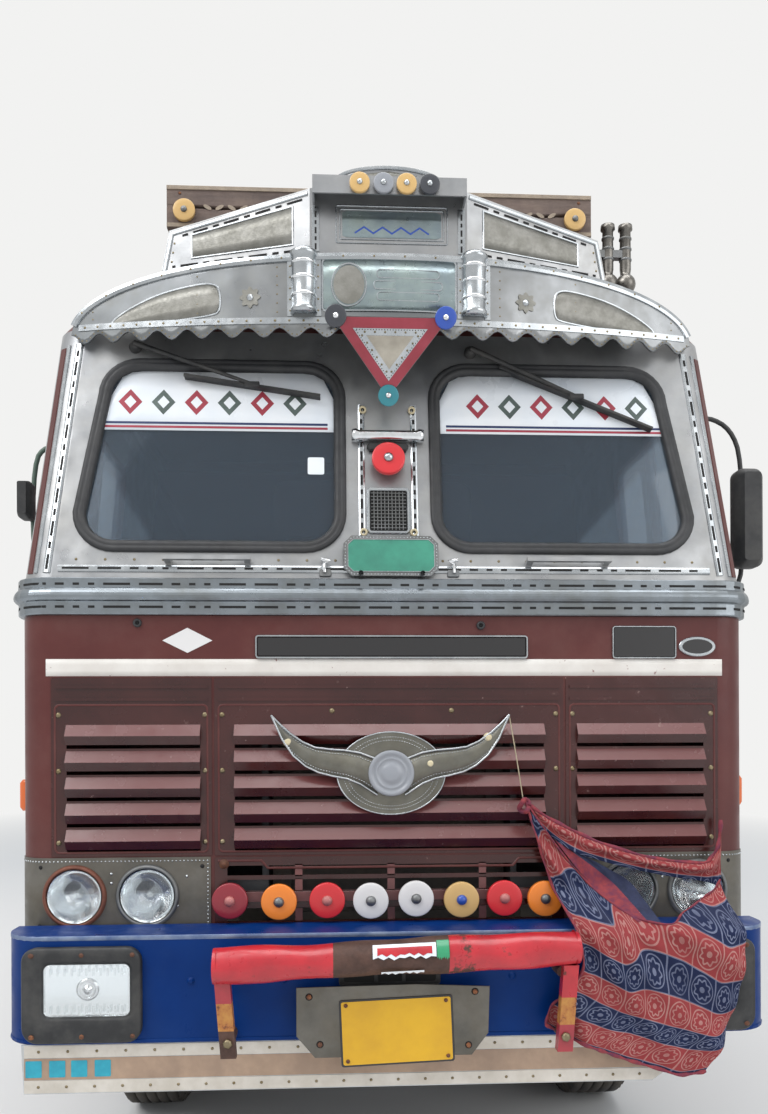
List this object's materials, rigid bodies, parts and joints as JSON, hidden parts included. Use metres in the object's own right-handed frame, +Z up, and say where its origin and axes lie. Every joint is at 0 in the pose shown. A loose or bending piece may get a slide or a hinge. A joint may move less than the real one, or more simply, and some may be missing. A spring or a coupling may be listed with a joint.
{
  "type": "haulage truck",
  "caption": "Long forward-control haulage truck with a decorated cab, steered front wheels, turning wheels, opening doors and a drop tailgate.",
  "frame": {"origin": "on the ground under the middle of the truck's length and width", "axes": "+X to the truck's own left, +Y back along the truck, +Z up; the front faces -Y"},
  "size_m": [2.64, 9.432, 3.66],
  "materials": {
    "frame_paint": "chassis black, dusty",
    "spring_steel": "bare spring steel, lightly rusted",
    "cast_iron": "rough cast",
    "radiator": "matt black",
    "rusty_steel": "rusted",
    "tank_paint": "painted steel",
    "bumper_blue": "worn gloss paint",
    "aluminium": "mill finish",
    "bar_steel": "rusted paint with red ends",
    "black_plastic": "matt",
    "lamp_glass": "fluted",
    "bare_steel": "dull zinc-coated sheet",
    "cab_paint": "maroon gloss, faded",
    "grille_paint": "maroon gloss, faded",
    "reflector": "moulded reflector",
    "ornament_steel": "pressed stainless sheet",
    "stainless": "polished stainless sheet",
    "glass": "clear",
    "rubber": "aged rubber",
    "rack_wood": "weathered boards",
    "floor_paint": "grey paint",
    "seat_cover": "vinyl",
    "guard_paint": "black, dusty",
    "deck_wood": "worn planks on steel bearers",
    "body_paint": "brown paint, rust at the seams",
    "printed_cotton": "block print in red and navy",
    "tyre": "worn",
    "rim_paint": "painted steel, dusty"
  },
  "bodies": {
    "truck": {"chassis_rails": "frame_paint", "cross_members": "frame_paint", "rear_underrun": "frame_paint", "front_axle_beam": "frame_paint", "rear_axles": "frame_paint", "leaf_springs": "spring_steel", "engine_block": "cast_iron", "radiator": "radiator", "driveline": "cast_iron", "exhaust": "rusty_steel", "side_tanks": "tank_paint", "front_bumper": "bumper_blue", "bumper_skirt": "aluminium", "bull_bar": "bar_steel", "lamp_bezels": "black_plastic", "lamp_lenses": "lamp_glass", "headlamp_panels": "bare_steel", "cowl_panel": "cab_paint", "grilles": "grille_paint", "roller_discs": "reflector", "winged_ornament": "ornament_steel", "belt_rail": "stainless", "windscreen_frame": "stainless", "windscreen_glass": "glass", "windscreen_seals": "rubber", "triangle_emblem": "ornament_steel", "visor": "stainless", "roof_crown": "stainless", "roof_rack": "rack_wood", "cab_roof": "cab_paint", "cab_rear_shell": "cab_paint", "cab_floor": "floor_paint", "dashboard": "black_plastic", "cab_seats": "seat_cover", "wipers": "black_plastic", "mirrors": "black_plastic", "mudguards": "guard_paint", "load_floor": "deck_wood", "load_walls": "body_paint", "lamp_cloth": "printed_cotton"},
    "steered_left": {"knuckle_left": "frame_paint"},
    "wheel_front_left": {"front_tyre_left": "tyre", "front_wheel_left": "rim_paint"},
    "wheels_rear_1_left": {"rear_tyres_1_left": "tyre", "rear_wheels_1_left": "rim_paint"},
    "wheels_rear_2_left": {"rear_tyres_2_left": "tyre", "rear_wheels_2_left": "rim_paint"},
    "door_left": {"door_left": "cab_paint", "door_glass_left": "glass"},
    "steered_right": {"knuckle_right": "frame_paint"},
    "wheel_front_right": {"front_tyre_right": "tyre", "front_wheel_right": "rim_paint"},
    "wheels_rear_1_right": {"rear_tyres_1_right": "tyre", "rear_wheels_1_right": "rim_paint"},
    "wheels_rear_2_right": {"rear_tyres_2_right": "tyre", "rear_wheels_2_right": "rim_paint"},
    "door_right": {"door_right": "cab_paint", "door_glass_right": "glass"},
    "tailgate": {"tailgate": "body_paint"}
  },
  "joints": [
    {"name": "steer_left", "type": "hinge", "parent": "truck", "child": "steered_left", "pos_m": [0.805, -3.01, 0.52], "axis": [0, 0, 1], "range_deg": [-30, 30]},
    {"name": "steer_right", "type": "hinge", "parent": "truck", "child": "steered_right", "pos_m": [-0.805, -3.01, 0.52], "axis": [0, 0, 1], "range_deg": [-30, 30]},
    {"name": "spin_front_left", "type": "hinge", "parent": "steered_left", "child": "wheel_front_left", "pos_m": [0.965, -3.01, 0.52], "axis": [1, 0, 0], "continuous": true},
    {"name": "spin_rear_1_left", "type": "hinge", "parent": "truck", "child": "wheels_rear_1_left", "pos_m": [0.918, 1.57, 0.52], "axis": [1, 0, 0], "continuous": true},
    {"name": "spin_rear_2_left", "type": "hinge", "parent": "truck", "child": "wheels_rear_2_left", "pos_m": [0.918, 2.9, 0.52], "axis": [1, 0, 0], "continuous": true},
    {"name": "door_left_swing", "type": "hinge", "parent": "truck", "child": "door_left", "pos_m": [1.212, -3.973, 1.65], "axis": [0, 0, -1], "range_deg": [0, 68]},
    {"name": "spin_front_right", "type": "hinge", "parent": "steered_right", "child": "wheel_front_right", "pos_m": [-0.965, -3.01, 0.52], "axis": [1, 0, 0], "continuous": true},
    {"name": "spin_rear_1_right", "type": "hinge", "parent": "truck", "child": "wheels_rear_1_right", "pos_m": [-0.918, 1.57, 0.52], "axis": [1, 0, 0], "continuous": true},
    {"name": "spin_rear_2_right", "type": "hinge", "parent": "truck", "child": "wheels_rear_2_right", "pos_m": [-0.918, 2.9, 0.52], "axis": [1, 0, 0], "continuous": true},
    {"name": "door_right_swing", "type": "hinge", "parent": "truck", "child": "door_right", "pos_m": [-1.212, -3.973, 1.65], "axis": [0, 0, 1], "range_deg": [0, 68]},
    {"name": "tailgate_drop", "type": "hinge", "parent": "truck", "child": "tailgate", "pos_m": [0, 4.704, 1.146], "axis": [-1, 0, 0], "range_deg": [0, 175]}
  ],
  "couplings": [
    {"joint": "steer_right", "follows": "steer_left", "ratio": 1}
  ]
}
